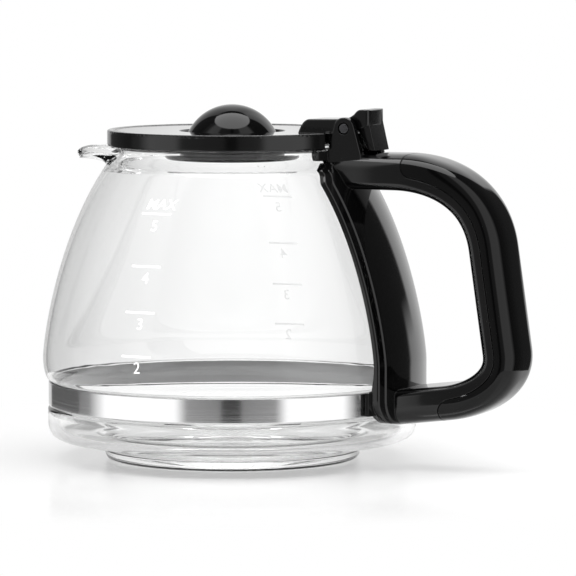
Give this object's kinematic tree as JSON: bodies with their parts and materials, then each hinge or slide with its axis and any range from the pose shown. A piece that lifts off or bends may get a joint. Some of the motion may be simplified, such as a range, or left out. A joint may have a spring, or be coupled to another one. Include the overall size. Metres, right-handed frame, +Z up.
{
  "type": "coffee carafe",
  "caption": "Rounded glass coffee carafe with drawn spout, steel clamp band, black loop handle and a hinged lid with thumb lever, dome and drip dish.",
  "frame": {"origin": "centre of the flat underside of the foot, where the carafe stands", "axes": "+Z up, +X towards the handle, -X towards the spout"},
  "size_m": [0.1666, 0.1246, 0.1163],
  "materials": {
    "clear_glass": "clear, polished",
    "polished_steel": "polished",
    "satin_black": "satin",
    "gloss_black": "gloss",
    "white_print": "fired-on white print of the cup marks"
  },
  "bodies": {
    "jug": {"glass_jug": "clear_glass", "clamp_band": "polished_steel", "band_yoke": "polished_steel", "band_screw": "polished_steel", "handle_frame": "satin_black", "handle_cover": "gloss_black", "cover_screw_upper": "polished_steel", "cover_screw_lower": "polished_steel", "hinge_pin": "polished_steel"},
    "lid_assembly": {"lid": "satin_black", "lid_dome": "gloss_black", "drip_dish": "satin_black"}
  },
  "joints": [
    {"name": "lid_hinge", "type": "hinge", "parent": "jug", "child": "lid_assembly", "pos_m": [0.0444, 0, 0.1096], "axis": [0, 1, 0], "range_deg": [0, 75]}
  ]
}
